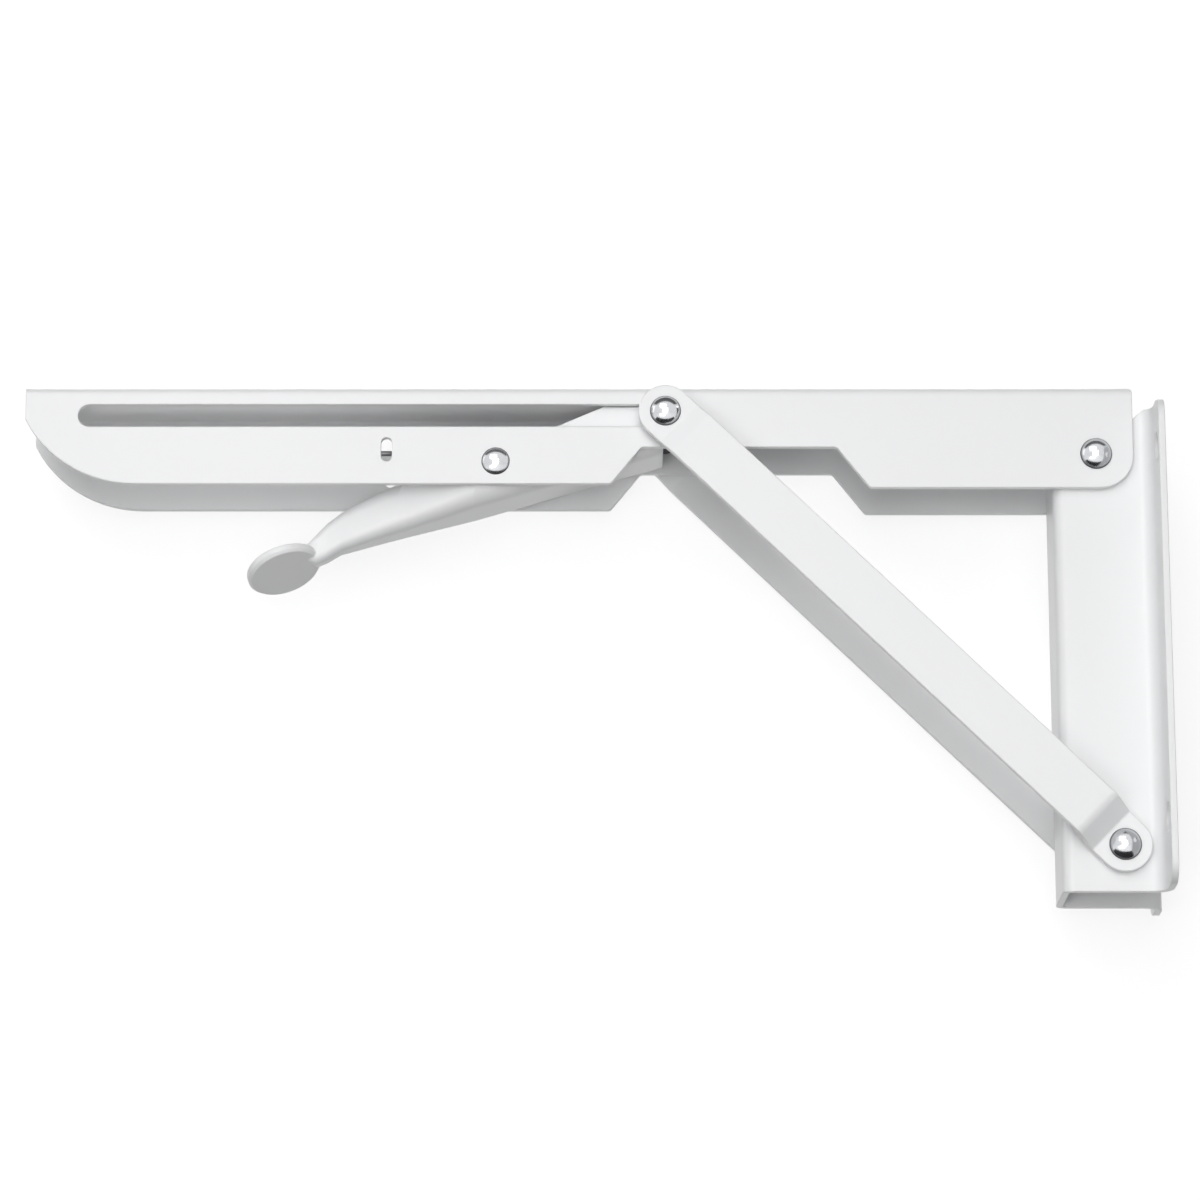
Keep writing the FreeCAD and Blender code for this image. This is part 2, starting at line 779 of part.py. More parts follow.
# Latch spring
# Torsion spring on the lever pivot: close coils, a short leg on the lever's web
# and a long leg that lies against the near wall, behind its small slot.
WIRE = size("wire_dia") / 2.0
LEG = 0.97 * WIRE
COIL = size("coil_radius")
EYE = Vector(size("lever_pin_x"), 0, size("lever_pin_z"))
COIL_LONG = size("coil_pitch * coil_turns")
COIL_NEAR = -COIL_LONG / 2.0
END_ANGLE = math.radians(90.0 - 360.0 * size("coil_turns"))


def on_coil(angle, across):
    return EYE + Vector(COIL * math.cos(angle), across, COIL * math.sin(angle))


def ball(centre):
    return Part.makeSphere(LEG, centre)


def rod(start, stop):
    run = stop - start
    return Part.makeCylinder(LEG, run.Length, start, run)


helix = Part.makeHelix(size("coil_pitch"), COIL_LONG, COIL)
profile = Part.Wire([Part.makeCircle(WIRE, Vector(COIL, 0, 0), Vector(0, 1, 0))])
coil = Part.Wire(helix.Edges).makePipeShell([profile], True, True)
# the helix climbs along +Z from +X; lay it along +Y and start it at the top
lay = FreeCAD.Rotation(Vector(1, 0, 0), -90.0)
turn_up = FreeCAD.Rotation(Vector(0, 1, 0), -90.0)
coil.Placement = FreeCAD.Placement(EYE + Vector(0, COIL_NEAR, 0), turn_up.multiply(lay))

SLOT_X = size("wire_slot_x")
LEG_Z = size("long_leg_z")
WALL_Y = -size(ARM_IN) + WIRE + 0.1
long_leg = [
    on_coil(math.pi / 2.0, COIL_NEAR),
    EYE + Vector(-5.0, COIL_NEAR - 0.2, COIL - 0.1),
    Vector(SLOT_X + 1.6, WALL_Y + 1.1, LEG_Z + 0.1),
    Vector(SLOT_X - 4.4, WALL_Y, LEG_Z - 0.25),
]
SHORT_X = size("short_leg_x")
SHORT_Z = size(lever_under("short_leg_x") + " + " + WEB_RISE) + WIRE * 1.05 + 0.1
short_leg = [
    on_coil(END_ANGLE, -COIL_NEAR),
    Vector(SHORT_X, -COIL_NEAR, SHORT_Z),
]
spring_shape = coil
for leg in (long_leg, short_leg):
    wire_leg = ball(leg[0])
    for start, stop in zip(leg, leg[1:]):
        wire_leg = wire_leg.fuse(rod(start, stop)).fuse(ball(stop))
    spring_shape = spring_shape.fuse(wire_leg)
spring = doc.addObject("Part::Feature", "latch_spring")
spring.Label = "latch_spring"
if len(spring_shape.Solids) != 1:
    raise RuntimeError("the spring wire is not one solid")
spring.Shape = spring_shape.Solids[0]
spring.Placement = FreeCAD.Placement(
    Vector(size("pivot_x"), 0, size("pivot_z")), FreeCAD.Rotation()
)

# Slide pin
PIN_X = "pivot_x + pin_x"
PIN_Z = "pivot_z + pin_z"
turned("slide_axle", [
    ("0", "-axle_half"),
    ("rivet_shank / 2", "-axle_half"),
    ("rivet_shank / 2", "axle_half"),
    ("0", "axle_half"),
], None, PIN_X, PIN_Z)
turned("slide_roller", [
    ("rivet_shank / 2 + running_gap", "-roller_half"),
    ("roller_dia / 2", "-roller_half"),
    ("roller_dia / 2", "roller_half"),
    ("rivet_shank / 2 + running_gap", "roller_half"),
], None, PIN_X, PIN_Z)


def slot_slider(name, hand):
    """Shoulder that runs in the long slot, with a flange outside the wall."""
    turned(name, [
        ("0", hand + "(%s)" % ARM_IN),
        ("rivet_shank / 2", hand + "(%s)" % ARM_IN),
        ("rivet_shank / 2", hand + "(%s)" % SLIDER_UNDER),
        ("slider_flange / 2", hand + "(%s)" % SLIDER_UNDER),
        ("slider_flange / 2", hand + "(%s)" % SLIDER_OUT),
        ("0", hand + "(%s)" % SLIDER_OUT),
    ], None, PIN_X, PIN_Z)


def slide_cap(name, hand, turn):
    """Pin end in the bar's eye, with a domed head outside it."""
    top = "(%s) + cap_dome" % EAR_HIGH_OUT
    ball_place = dome_centre(top, "cap_dome", "cap_head")
    turned(name, [
        ("0", hand + "(%s)" % EAR_HIGH),
        ("rivet_shank / 2", hand + "(%s)" % EAR_HIGH),
        ("rivet_shank / 2", hand + "(%s)" % EAR_HIGH_OUT),
        ("cap_head / 2", hand + "(%s)" % EAR_HIGH_OUT),
        ("0", hand + "(%s)" % top),
    ], {3: ("y", hand + "(%s)" % ball_place, turn)}, PIN_X, PIN_Z)


slot_slider("slot_slider_near", "-")
slot_slider("slot_slider_far", "")
slide_cap("slide_cap_near", "-", -1)
slide_cap("slide_cap_far", "", 1)


# Strut bars
def strut_bar(name, hand):
    """Flat bar along its own X, from the lower pivot to the slide pin."""
    bar = new_body(name)
    edge = new_sketch(bar, name + "_edge", "XY_Plane")
    end_low = "-bar_width / 2 - 2"
    end_high = STRUT_RUN + " + bar_width / 2 + 2"
    low_angle = "atan((bar_inner - (%s)) / (low_joggle_end - low_joggle_start))" % EAR_LOW
    low_lead = "bar_thick * tan(%s / 2)" % low_angle
    high_angle = "atan((bar_inner - (%s)) / (high_joggle_end - high_joggle_start))" % EAR_HIGH
    high_lead = "bar_thick * tan(%s / 2)" % high_angle
    high_near = STRUT_RUN + " - high_joggle_start"
    high_far = STRUT_RUN + " - high_joggle_end"
    spots = [
        (end_low, EAR_LOW),
        ("low_joggle_start", EAR_LOW),
        ("low_joggle_end", "bar_inner"),
        (high_far, "bar_inner"),
        (high_near, EAR_HIGH),
        (end_high, EAR_HIGH),
        (end_high, EAR_HIGH + " + bar_thick"),
        (high_near + " + " + high_lead, EAR_HIGH + " + bar_thick"),
        (high_far + " + " + high_lead, "bar_inner + bar_thick"),
        ("low_joggle_end - " + low_lead, "bar_inner + bar_thick"),
        ("low_joggle_start - " + low_lead, EAR_LOW + " + bar_thick"),
        (end_low, EAR_LOW + " + bar_thick"),
    ]
    spots = [(x, hand + "(%s)" % y) for x, y in spots]
    outline(edge, spots)
    pad(bar, name + "_strip", edge, "bar_width + 4")

    def bend(indices):
        marks = [(size(spots[i][0]), size(spots[i][1])) for i in indices]

        def test(item):
            if not along(item, Z_AXIS):
                return False
            point = item.Vertexes[0].Point
            return any(near(point.x, x) and near(point.y, y) for x, y in marks)

        return test

    round_edges(bar, name + "_bend_out", "joggle_bend + bar_thick", bend((1, 4, 8, 9)))
    round_edges(bar, name + "_bend_in", "joggle_bend", bend((2, 3, 7, 10)))

    shape = new_sketch(bar, name + "_outline", "XZ_Plane")
    outline(shape, [
        ("-bar_width", "-bar_width"),
        (STRUT_RUN + " + bar_width", "-bar_width"),
        (STRUT_RUN + " + bar_width", "bar_width"),
        ("-bar_width", "bar_width"),
    ])
    outline(shape, [
        ("0", "-bar_width / 2"),
        (STRUT_RUN, "-bar_width / 2"),
        (STRUT_RUN, "bar_width / 2"),
        ("0", "bar_width / 2"),
    ], {1: ("x", STRUT_RUN, 1), 3: ("x", "0", 1)})
    pocket(bar, name + "_trim", shape, "6 * bar_inner")

    holes = new_sketch(bar, name + "_eyes", "XZ_Plane")
    circle(holes, "0", "0", "rivet_shank + 2 * running_gap")
    circle(holes, STRUT_RUN, "0", "rivet_shank")
    pocket(bar, name + "_eyes_cut", holes, "6 * bar_inner")

    stand_at(bar, "pivot_x + strut_low_x", "pivot_z + strut_low_z")
    rise = size("pin_z - strut_low_z")
    reach = size("pin_x - strut_low_x")
    bar.Placement = FreeCAD.Placement(
        bar.Placement.Base,
        FreeCAD.Rotation(Vector(0, -1, 0), math.degrees(math.atan2(rise, reach))),
    )
    tie(bar, "Placement.Rotation.Angle", "atan2(pin_z - strut_low_z; pin_x - strut_low_x)")
    return bar


strut_bar("strut_bar_near", "-")
strut_bar("strut_bar_far", "")

# Check, write
doc.recompute()
NODES = [
    "wall_bracket", "arm_pivot_rivet", "strut_pivot_rivet",
    "shelf_arm", "lever_pivot_rivet", "latch_spring",
    "release_lever",
    "slide_axle", "slide_roller", "slot_slider_near", "slot_slider_far",
    "strut_bar_near", "strut_bar_far", "slide_cap_near", "slide_cap_far",
]
for item in doc.Objects:
    bad = [word for word in item.State if word in ("Invalid", "Error")]
    if bad:
        raise RuntimeError("%s failed: %s" % (item.Name, item.State))

os.makedirs("parts", exist_ok=True)
for name in NODES:
    item = doc.getObjectsByLabel(name)[0]
    shape = item.Shape
    if shape.isNull() or not shape.isValid() or len(shape.Solids) != 1:
        raise RuntimeError("%s has no valid single solid" % name)
    shape.exportStep("parts/%s.step" % name)
    box = shape.optimalBoundingBox(False)
    print("%-18s %9.1f mm3  x %7.2f %7.2f  y %7.2f %7.2f  z %7.2f %7.2f" % (
        name, shape.Volume, box.XMin, box.XMax, box.YMin, box.YMax, box.ZMin, box.ZMax))
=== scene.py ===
# %% [markdown]
# # A folding shelf bracket in white powder coat
# The bracket is pressed steel: a hat section on the wall, a channel arm, two flat bars and a
# release lever.  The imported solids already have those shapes, so they stay, and this file gives
# them their coat.  The rivets, the roller and the spring are small turned or bent pieces whose
# looks depend on smooth reflections, so they are modelled again here.

# %% Load the frame
import bmesh
import bpy
import math
from mathutils import Matrix, Vector


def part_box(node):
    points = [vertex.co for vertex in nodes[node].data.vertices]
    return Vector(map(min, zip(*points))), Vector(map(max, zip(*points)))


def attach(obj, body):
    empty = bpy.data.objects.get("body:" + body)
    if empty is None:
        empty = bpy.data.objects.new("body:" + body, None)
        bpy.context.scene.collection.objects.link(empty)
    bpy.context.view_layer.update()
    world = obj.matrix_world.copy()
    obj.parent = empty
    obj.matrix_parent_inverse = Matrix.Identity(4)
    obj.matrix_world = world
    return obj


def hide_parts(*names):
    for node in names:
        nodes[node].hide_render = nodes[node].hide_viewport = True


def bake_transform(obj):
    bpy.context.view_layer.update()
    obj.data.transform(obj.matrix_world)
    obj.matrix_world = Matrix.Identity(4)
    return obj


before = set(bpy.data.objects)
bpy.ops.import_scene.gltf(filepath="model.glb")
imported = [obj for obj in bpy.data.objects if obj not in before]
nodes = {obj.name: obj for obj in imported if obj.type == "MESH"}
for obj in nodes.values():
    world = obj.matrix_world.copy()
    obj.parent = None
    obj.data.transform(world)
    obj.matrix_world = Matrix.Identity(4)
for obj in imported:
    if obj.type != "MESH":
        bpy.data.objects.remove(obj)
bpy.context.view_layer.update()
MM = 0.001
print("nodes:", len(nodes))

# %% [markdown]
# ## A small language for finishes
# A finish is a handful of nodes.  Written with operators, the maths reads as maths: a value from
# the tree is wrapped in `Tone`, and adding or multiplying tones adds Math nodes.  Everything else
# comes from one method that takes a node's type, its settings and its inputs.

# %% Tone: a socket with operators
class Tone:
    """One number that changes over a surface."""

    def __init__(self, finish, socket):
        self.finish = finish
        self.socket = socket

    def math(self, operation, other, swap=False):
        pair = [other, self] if swap else [self, other]
        node = self.finish.node(
            "ShaderNodeMath", {"operation": operation}, {0: pair[0], 1: pair[1]}
        )
        return Tone(self.finish, node.outputs[0])

    def __add__(self, other):
        return self.math("ADD", other)

    def __radd__(self, other):
        return self.math("ADD", other, swap=True)

    def __mul__(self, other):
        return self.math("MULTIPLY", other)


# %% [markdown]
# A material could be built by clicking nodes together, or as one long list of calls.  A small
# class keeps the calls that every finish repeats, so each finish below reads as a short recipe:
# the noises that it uses, and which input of the shader each of them feeds.

# %% Finish: a material that is written down
class Finish:
    """A material with one shader and the nodes that feed it."""

    def __init__(self, name):
        self.material = bpy.data.materials.new(name)
        self.material.use_nodes = True
        self.tree = self.material.node_tree
        self.tree.nodes.clear()
        self.coat = self.node("ShaderNodeBsdfPrincipled", {}, {})
        self.sheet = self.node("ShaderNodeOutputMaterial", {}, {"Surface": self.coat.outputs[0]})
        self.place = self.node("ShaderNodeTexCoord", {}, {}).outputs["Object"]

    def node(self, kind, settings, inputs):
        """Adds a node of a type, with its settings and its inputs."""
        made = self.tree.nodes.new(kind)
        for word, value in settings.items():
            setattr(made, word, value)
        for word, value in inputs.items():
            self.feed(made.inputs[word], value)
        return made

    def feed(self, socket, value):
        """Links another socket to an input, or sets its plain value."""
        if isinstance(value, Tone):
            value = value.socket
        if isinstance(value, bpy.types.NodeSocket):
            self.tree.links.new(value, socket)
        else:
            socket.default_value = value

    def look(self, **inputs):
        """Feeds the shader's inputs by name, with _ for a space."""
        for word, value in inputs.items():
            self.feed(self.coat.inputs[word.replace("_", " ")], value)

    def noise(self, scale, detail=2.0, roughness=0.5, place=None):
        made = self.node(
            "ShaderNodeTexNoise", {},
            {
                "Vector": place or self.place,
                "Scale": scale,
                "Detail": detail,
                "Roughness": roughness,
            },
        )
        return Tone(self, made.outputs[0])

    def stretched(self, scale):
        """Object coordinates drawn out along an axis."""
        made = self.node("ShaderNodeMapping", {}, {"Vector": self.place, "Scale": scale})
        return made.outputs[0]

    def blend(self, amount, low, high):
        """A colour between two others."""
        made = self.node(
            "ShaderNodeMix", {"data_type": "RGBA"},
            {0: amount, 6: (*low, 1.0), 7: (*high, 1.0)},
        )
        return made.outputs[2]

    def relief(self, height, depth_mm, strength, edge_mm=0.0):
        """Bumps from a height, on edges that look rounded by edge_mm."""
        made = self.node(
            "ShaderNodeBump", {},
            {"Height": height, "Distance": depth_mm * MM, "Strength": strength},
        )
        if edge_mm:
            soft = self.node("ShaderNodeBevel", {"samples": 4}, {"Radius": edge_mm * MM})
            self.feed(made.inputs["Normal"], soft.outputs[0])
        return made.outputs[0]


# %% [markdown]
# ## White powder coat
# Powder melts and flows on the steel, and it sets with a fine orange-peel skin about a
# millimetre across.  A noise at that size feeds the bump, a finer one breaks up the gloss, and a
# slow one shifts the white so little that it hardly shows.  Powder also rounds every edge.  A
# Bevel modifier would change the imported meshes, so a Bevel node bends only the light there.

# %% The coat on the pressed steel
EDGE_ROUND_MM = 0.45


def powder_coat(name, white, shade):
    finish = Finish(name)
    peel = finish.noise(750.0, 2.0)
    grain = finish.noise(4200.0, 3.0)
    drift = finish.noise(26.0, 2.0)
    colour = finish.blend(drift * 0.7 + grain * 0.3, shade, white)
    skin = peel * 0.8 + grain * 0.2
    finish.look(
        Base_Color=colour,
        Roughness=0.26 + grain * 0.12,
        Normal=finish.relief(skin, 0.03, 0.22, edge_mm=EDGE_ROUND_MM),
    )
    return finish.material


white_coat = powder_coat("white_powder_coat", (0.86, 0.865, 0.87), (0.82, 0.825, 0.83))
# The lever gets a lighter copy of the same coat: painted light that lifts the lever, which sits in
# the arm's shade.
lightened_lever_coat = powder_coat("lightened_white_coat_on_the_lever", (0.88, 0.885, 0.89), (0.84, 0.845, 0.85))
print("finishes:", white_coat.name, lightened_lever_coat.name)

# %% [markdown]
# ## Bright plating
# The rivet heads are plated and polished, so their look is the room that they reflect.  Where a
# head meets the coat the material paints a fine dark line of shade.  A thin ring could be modelled
# there, but a material that darkens with the distance from the rivet's own axis needs no extra
# piece.

# %% Plating
# Where the painted rim shade starts and where it is full, inside the head's rim, and its
# near-black colour.
RIM_SHADE_START_MM = 0.55
RIM_SHADE_FULL_MM = 0.05
PAINTED_RIM_SHADE_COLOUR = (0.03, 0.03, 0.032, 1.0)


def bright_plating(name, axis=None, rim_mm=0.0):
    """Plating, with a painted dark ring of shade rim_mm from the axis where an axis is given."""
    finish = Finish(name)
    cloud = finish.noise(300.0, 3.0)
    fine = finish.noise(5200.0, 2.0)
    colour = finish.blend(cloud, (0.60, 0.61, 0.63), (0.72, 0.73, 0.75))
    roughness = 0.14 + fine * 0.05
    if axis is not None:
        about = finish.node(
            "ShaderNodeMapping", {}, {"Vector": finish.place, "Location": (-axis.x, 0.0, -axis.z)}
        )
        flat = finish.node(
            "ShaderNodeVectorMath", {"operation": "MULTIPLY"},
            {0: about.outputs[0], 1: (1.0, 0.0, 1.0)},
        )
        reach = finish.node("ShaderNodeVectorMath", {"operation": "LENGTH"}, {0: flat.outputs[0]})
        rim = finish.node(
            "ShaderNodeMapRange", {"interpolation_type": "SMOOTHSTEP"},
            {
                0: reach.outputs["Value"],
                1: (rim_mm - RIM_SHADE_START_MM) * MM,
                2: (rim_mm - RIM_SHADE_FULL_MM) * MM,
                3: 0.0,
                4: 1.0,
            },
        )
        # Painted shade: towards the head's rim the base colour darkens almost to black and the
        # gloss dulls.
        painted_rim_shade = Tone(finish, rim.outputs[0])
        shaded_rim_mix = finish.node(
            "ShaderNodeMix", {"data_type": "RGBA"}, {0: painted_rim_shade * 0.92, 6: colour, 7: PAINTED_RIM_SHADE_COLOUR}
        )
        colour = shaded_rim_mix.outputs[2]
        roughness = roughness + painted_rim_shade * 0.25
    finish.look(
        Base_Color=colour,
        Metallic=1.0,
        Roughness=roughness,
        Normal=finish.relief(fine, 0.002, 0.05),
    )
    return finish.material


plating = bright_plating("bright_plating")
print("finish:", plating.name)

# %% [markdown]
# ## Black nylon
# The roller on the slide pin is moulded nylon, nearly black, with a satin skin.  One noise does
# both for the gloss and for the bump, since a mould leaves both at the same size.

# %% Black nylon
def black_nylon():
    finish = Finish("black_nylon")
    mould = finish.noise(1500.0, 3.0)
    cloud = finish.noise(240.0, 2.0)
    finish.look(
        Base_Color=finish.blend(cloud, (0.012, 0.012, 0.013), (0.030, 0.030, 0.032)),
        Roughness=0.42 + mould * 0.16,
        Normal=finish.relief(mould, 0.02, 0.3),
    )
    return finish.material


nylon = black_nylon()
print("finish:", nylon.name)

# %% [markdown]
# ## Spring wire
# Spring wire is drawn through a die, which leaves fine streaks.  Noise that is drawn out along one
# axis gives them.

# %% Spring wire
def drawn_wire():
    finish = Finish("drawn_spring_wire")
    streak = finish.noise(900.0, 3.0, 0.6, finish.stretched((0.2, 1.0, 1.0)))
    finish.look(
        Base_Color=finish.blend(streak, (0.16, 0.16, 0.165), (0.34, 0.34, 0.35)),
        Metallic=1.0,
        Roughness=0.22 + streak * 0.16,
        Normal=finish.relief(streak, 0.008, 0.25),
    )
    return finish.material


wire_finish = drawn_wire()
print("finish:", wire_finish.name)

# %% [markdown]
# ## Coating the pressings
# The hat, the arm, the bars and the lever are pressed from sheet.  They could be modelled again
# here with bends and bevels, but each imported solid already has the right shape, so only its
# material slot changes.  The steel axle inside keeps its shape too and is plated.

# %% The coat goes on
coats = {
    "wall_bracket": white_coat,
    "shelf_arm": white_coat,
    "strut_bar_near": white_coat,
    "strut_bar_far": white_coat,
    # The lever's lighter copy of the coat is painted light.
    "release_lever": lightened_lever_coat,
    "slide_axle": plating,
}
for node, finish in coats.items():
    nodes[node].data.materials.clear()
    nodes[node].data.materials.append(finish)
    print(node, "gets", finish.name)

# %% [markdown]
# ## From a bmesh to a piece
# The small pieces are built as bmeshes, which are only data.  They all end in the same way: the
# normals are put right, the mesh is shaded smooth except at sharp edges, the new object rides on
# its body if it has one and takes its finish, and the imported node that it replaces is hidden.

# %% A bmesh becomes a piece
SHARP_FROM = math.radians(32)


def into_scene(bm, name, body, finish, replaced):
    """The finished mesh becomes a piece at the origin that rides on its body, if it has one."""
    bmesh.ops.remove_doubles(bm, verts=bm.verts, dist=1e-6)
    bmesh.ops.recalc_face_normals(bm, faces=bm.faces)
    for face in bm.faces:
        face.smooth = True
    for edge in bm.edges:
        if len(edge.link_faces) == 2 and edge.calc_face_angle() > SHARP_FROM:
            edge.smooth = False
    mesh = bpy.data.meshes.new(name)
    bm.to_mesh(mesh)
    bm.free()
    piece = bpy.data.objects.new(name, mesh)
    bpy.context.scene.collection.objects.link(piece)
    mesh.materials.append(finish)
    if body:
        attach(piece, body)
    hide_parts(replaced)
    print(name, "faces", len(mesh.polygons))
    return piece


# %% [markdown]
# ## Turning a rivet
# A rivet is turned: one outline swept round its axis.  A cylinder with a squashed ball on each end
# would come close, but its joints would show.  The domed head is part of a ball, so its outline is
# a single vertex spun about the ball's centre, and the rest is a few points joined by edges.
# Spinning the whole outline once about Y gives the piece, and a small bevel rounds its rims so
# that they catch the light.

# %% Helpers for turned pieces
ROUND_FROM = math.radians(40)


def outline_point(bm, last, radius, along):
    """Adds the next corner of an outline, in millimetres from the axis and along it."""
    point = bm.verts.new((radius * MM, along * MM, 0.0))
    if last is not None:
        bm.edges.new((last, point))
    return point


def dome_outline(bm, top, rise, head, hand):
    """Spins the apex about the centre of the head's ball; gives the vertex on the rim."""
    ball = ((head / 2.0) ** 2 + rise ** 2) / (2.0 * rise)
    apex = outline_point(bm, None, 0.0, hand * top)
    centre = Vector((0.0, hand * (top - ball) * MM, 0.0))
    reach = math.asin((head / 2.0) / ball)
    swept = bmesh.ops.spin(
        bm, geom=[apex], cent=centre, axis=(0, 0, 1), angle=-hand * reach, steps=9,
        use_duplicate=False,
    )
    return [item for item in swept["geom_last"] if isinstance(item, bmesh.types.BMVert)][0]


def turn_and_round(bm, place, rim):
    """Spins the outline about the Y axis, rounds its rims and puts it in place."""
    bmesh.ops.spin(
        bm, geom=bm.verts[:] + bm.edges[:], cent=(0, 0, 0), axis=(0, 1, 0),
        angle=2.0 * math.pi, steps=56, use_merge=True, use_duplicate=False,
    )
    bmesh.ops.remove_doubles(bm, verts=bm.verts, dist=2e-6)
    bmesh.ops.recalc_face_normals(bm, faces=bm.faces)
    rims = [
        edge for edge in bm.edges
        if len(edge.link_faces) == 2 and edge.calc_face_angle() > ROUND_FROM
    ]
    bmesh.ops.bevel(
        bm, geom=rims, offset=rim * MM, offset_type="OFFSET", segments=2, profile=0.5,
        affect="EDGES", clamp_overlap=True, material=-1,
    )
    bmesh.ops.translate(bm, verts=bm.verts, vec=place)


def middle_of(node):
    """The axis of a turned node, at Y = 0."""
    low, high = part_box(node)
    return Vector(((low[0] + high[0]) / 2.0, 0.0, (low[2] + high[2]) / 2.0))


# %% [markdown]
# A rivet is symmetrical: a dome, the shank and the other dome.  Sizes are in millimetres: the
# head's width and rise, the shank's width, and how far the heads' undersides are from the middle.

# %% The three rivets
PLATED_RIM = 0.08


def rivet(node, body, head, rise, shank, under):
    """A pin with a domed head at both ends."""
    bm = bmesh.new()
    top = under + rise
    last = dome_outline(bm, top, rise, head, -1)
    last = outline_point(bm, last, shank / 2.0, -under)
    last = outline_point(bm, last, shank / 2.0, under)
    rim = dome_outline(bm, top, rise, head, 1)
    bm.edges.new((last, rim))
    turn_and_round(bm, middle_of(node), PLATED_RIM)
    # This plating paints a dark ring of shade at the head's rim.
    bright = bright_plating("plating_" + node, middle_of(node), head / 2.0)
    into_scene(bm, "bright_" + node, body, bright, node)


rivet("arm_pivot_rivet", "wall", 7.2, 2.2, 5.0, 11.4)
rivet("strut_pivot_rivet", "wall", 7.2, 2.2, 5.0, 11.7)
rivet("lever_pivot_rivet", "arm", 6.4, 1.45, 4.0, 11.3)

# %% [markdown]
# The slide pin ends outside the bars in two domed caps.  Nearer the middle a hub runs in each
# long slot, with a disc that keeps it there.  Both are turned like the rivets, from corners given
# as a radius and a distance from the middle.

# %% The slide pin's outer ends
PIN_R = 2.5
CAP_WIDTH, CAP_RISE, CAP_TOP = 7.0, 2.2, 17.05
CAP_STUB_END = 13.05
SHOULDER = ((0.0, 12.75), (4.5, 12.75), (4.5, 11.6), (PIN_R, 11.6), (PIN_R, 9.8), (0.0, 9.8))


def pin_cap(node, hand):
    """A domed end of the slide pin, outside a bar."""
    bm = bmesh.new()
    rim = dome_outline(bm, CAP_TOP, CAP_RISE, CAP_WIDTH, hand)
    last = outline_point(bm, rim, PIN_R, hand * (CAP_TOP - CAP_RISE))
    last = outline_point(bm, last, PIN_R, hand * CAP_STUB_END)
    outline_point(bm, last, 0.0, hand * CAP_STUB_END)
    turn_and_round(bm, middle_of(node), PLATED_RIM)
    # This plating paints a dark ring of shade at the cap's rim.
    bright = bright_plating("plating_" + node, middle_of(node), CAP_WIDTH / 2.0)
    into_scene(bm, "bright_" + node, "strut", bright, node)


def slot_shoulder(node, hand):
    """The hub that runs in the long slot, with the disc outside it."""
    bm = bmesh.new()
    last = None
    for radius, along in SHOULDER:
        last = outline_point(bm, last, radius, hand * along)
    turn_and_round(bm, middle_of(node), 2.0 * PLATED_RIM)
    into_scene(bm, "bright_" + node, "slide", plating, node)


pin_cap("slide_cap_near", -1)
pin_cap("slide_cap_far", 1)
slot_shoulder("slot_slider_near", -1)
slot_shoulder("slot_slider_far", 1)

# %% [markdown]
# ## The roller
# A moulded sleeve turns on the slide pin and takes the push of the latch.  A cylinder with a hole
# cut through it would need a boolean, so it is a closed outline beside the axis, spun once, with
# its ends rounded by the same bevel.

# %% Spin the sleeve
ROLLER_BORE_R, ROLLER_R, ROLLER_HALF = 2.55, 3.5, 7.4

bm = bmesh.new()
first = outline_point(bm, None, ROLLER_BORE_R, -ROLLER_HALF)
last = outline_point(bm, first, ROLLER_R, -ROLLER_HALF)
last = outline_point(bm, last, ROLLER_R, ROLLER_HALF)
last = outline_point(bm, last, ROLLER_BORE_R, ROLLER_HALF)
bm.edges.new((last, first))
turn_and_round(bm, middle_of("slide_roller"), 0.3)
into_scene(bm, "moulded_slide_roller", "slide", nylon, "slide_roller")

# %% [markdown]
# ## The latch spring
# A torsion spring is one wire.  A curve with a round bevel would do, but a mesh can be blended
# between two bodies.  A small circle spun about the pivot while it moves along it gives the coils,
# and rings bridged from its two ends give the legs.  Each bend is one more ring on the mitre, so
# the wire keeps its thickness.

# %% Wind the spring
WIRE_R = 0.58 * MM
COIL_R = 3.6 * MM
TURNS = 3.44
PITCH = 1.5 * MM
COIL_STEPS = 120
eye = middle_of("lever_pivot_rivet")
coil_near = -PITCH * TURNS / 2.0


def ring_at(bm, centre, along, radius):
    """A ring of wire across a direction."""
    turn = Vector((0, 0, 1)).rotation_difference(along.normalized()).to_matrix().to_4x4()
    made = bmesh.ops.create_circle(
        bm, cap_ends=False, radius=radius, segments=12, matrix=Matrix.Translation(centre) @ turn
    )
    return made["verts"]


def ring_edges(verts):
    """The edges that join the vertices of a ring."""
    chosen = set(verts)
    near = set(edge for vert in verts for edge in vert.link_edges)
    return [edge for edge in near if all(vert in chosen for vert in edge.verts)]


def leg(bm, verts, points):
    """Carries a ring of wire along a run of points, mitred at each bend."""
    rings = [ring_edges(verts)]
    for i in range(1, len(points)):
        before = (points[i] - points[i - 1]).normalized()
        after = (points[i + 1] - points[i]).normalized() if points[i + 1:] else before
        across = (before + after).normalized()
        made = ring_at(bm, points[i], across, WIRE_R)
        rings.append(ring_edges(made))
        bmesh.ops.bridge_loops(bm, edges=rings[-2] + rings[-1])
    bmesh.ops.contextual_create(bm, geom=rings[-1])


